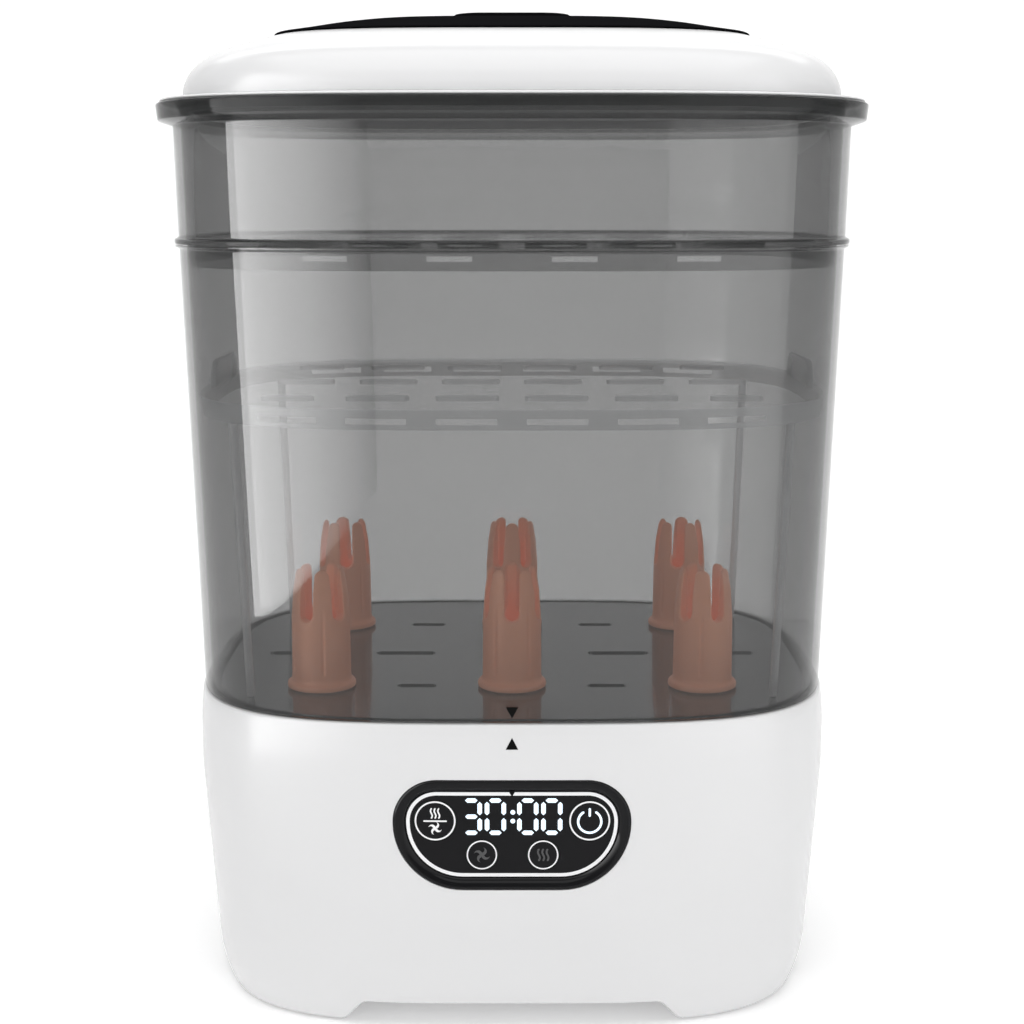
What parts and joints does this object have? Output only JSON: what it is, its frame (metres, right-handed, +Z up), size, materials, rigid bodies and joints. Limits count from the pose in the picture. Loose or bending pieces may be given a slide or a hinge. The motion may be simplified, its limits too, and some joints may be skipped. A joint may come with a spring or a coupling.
{
  "type": "bottle sterilizer",
  "caption": "Countertop steam steriliser and dryer: a white heated base with a key panel, clear stacked chambers with a pronged rack and a teat tray, and a domed lid.",
  "frame": {"origin": "centre of the footprint, on the surface the feet stand on", "axes": "+Z up, -Y towards the front with the control panel, +X to the right seen from the front"},
  "size_m": [0.2716, 0.2286, 0.3824],
  "materials": {
    "white_plastic": "satin moulded",
    "smoky_clear": "clear smoky tint",
    "dark_rack": "dark smoky",
    "clear_plastic": "clear",
    "gloss_black": "high gloss",
    "terracotta_silicone": "soft satin",
    "steel": "brushed",
    "rubber": "matte",
    "grey_plastic": "matte moulded",
    "circuit_board": "solder mask",
    "display_glass": "gloss",
    "filter_paper": "pleated"
  },
  "bodies": {
    "base": {"base_shell": "white_plastic", "base_deck": "grey_plastic", "bottom_plate": "grey_plastic", "heating_plate": "steel", "dish_gasket": "rubber", "heating_element": "steel", "thermostat": "steel", "blower_housing": "grey_plastic", "blower_cover": "grey_plastic", "fan_motor": "steel", "air_duct": "grey_plastic", "duct_heater": "steel", "air_outlet": "grey_plastic", "main_board": "circuit_board", "transformer": "grey_plastic", "power_relay": "display_glass", "panel_bezel": "gloss_black", "panel_lens": "gloss_black", "lcd_module": "display_glass", "display_board": "circuit_board", "filter_frame": "grey_plastic", "cord_gland": "rubber", "foot_pad_front_left": "rubber", "foot_pad_front_right": "rubber", "foot_pad_rear_left": "rubber", "foot_pad_rear_right": "rubber", "bottom_screw_1": "steel", "bottom_screw_2": "steel", "bottom_screw_3": "steel", "bottom_screw_4": "steel"},
    "fan": {"fan_impeller": "grey_plastic"},
    "key_mode": {"key_mode": "gloss_black"},
    "key_power": {"key_power": "gloss_black"},
    "key_dry": {"key_dry": "gloss_black"},
    "key_steam": {"key_steam": "gloss_black"},
    "filter": {"hepa_filter": "filter_paper"},
    "filter_door": {"filter_cover": "white_plastic"},
    "chamber": {"lower_chamber": "smoky_clear"},
    "rack": {"bottle_rack": "dark_rack", "prong_front_left": "terracotta_silicone", "prong_front_middle": "terracotta_silicone", "prong_front_right": "terracotta_silicone", "prong_rear_left": "terracotta_silicone", "prong_rear_middle": "terracotta_silicone", "prong_rear_right": "terracotta_silicone"},
    "tray": {"nipple_tray": "clear_plastic", "tray_leg_front_left": "clear_plastic", "tray_leg_front_right": "clear_plastic", "tray_leg_rear_left": "clear_plastic", "tray_leg_rear_right": "clear_plastic"},
    "upper": {"upper_chamber": "smoky_clear"},
    "lid": {"lid_liner": "white_plastic", "lid_cover": "white_plastic", "lid_top_panel": "gloss_black", "vent_cap": "gloss_black"}
  },
  "joints": [
    {"name": "chamber_lift", "type": "slide", "parent": "base", "child": "chamber", "axis": [0, 0, 1], "range_m": [0, 0.06]},
    {"name": "rack_lift", "type": "slide", "parent": "chamber", "child": "rack", "axis": [0, 0, 1], "range_m": [0, 0.18]},
    {"name": "tray_lift", "type": "slide", "parent": "rack", "child": "tray", "axis": [0, 0, 1], "range_m": [0, 0.18]},
    {"name": "upper_lift", "type": "slide", "parent": "tray", "child": "upper", "axis": [0, 0, 1], "range_m": [0, 0.06]},
    {"name": "lid_lift", "type": "slide", "parent": "upper", "child": "lid", "axis": [0, 0, 1], "range_m": [0, 0.08]},
    {"name": "fan_spin", "type": "hinge", "parent": "base", "child": "fan", "pos_m": [0.05, 0.034, 0.05], "axis": [0, 0, 1], "continuous": true},
    {"name": "filter_pull", "type": "slide", "parent": "base", "child": "filter", "axis": [0, 1, 0], "range_m": [0, 0.06]},
    {"name": "filter_door_pull", "type": "slide", "parent": "filter", "child": "filter_door", "axis": [0, 1, 0], "range_m": [0, 0.05]},
    {"name": "key_mode_press", "type": "slide", "parent": "base", "child": "key_mode", "axis": [0, 1, 0], "range_m": [0, 0.0006], "stiffness_N_per_m": 300, "springref_m": -0.0005},
    {"name": "key_power_press", "type": "slide", "parent": "base", "child": "key_power", "axis": [0, 1, 0], "range_m": [0, 0.0006], "stiffness_N_per_m": 300, "springref_m": -0.0005},
    {"name": "key_dry_press", "type": "slide", "parent": "base", "child": "key_dry", "axis": [0, 1, 0], "range_m": [0, 0.0006], "stiffness_N_per_m": 300, "springref_m": -0.0005},
    {"name": "key_steam_press", "type": "slide", "parent": "base", "child": "key_steam", "axis": [0, 1, 0], "range_m": [0, 0.0006], "stiffness_N_per_m": 300, "springref_m": -0.0005}
  ]
}
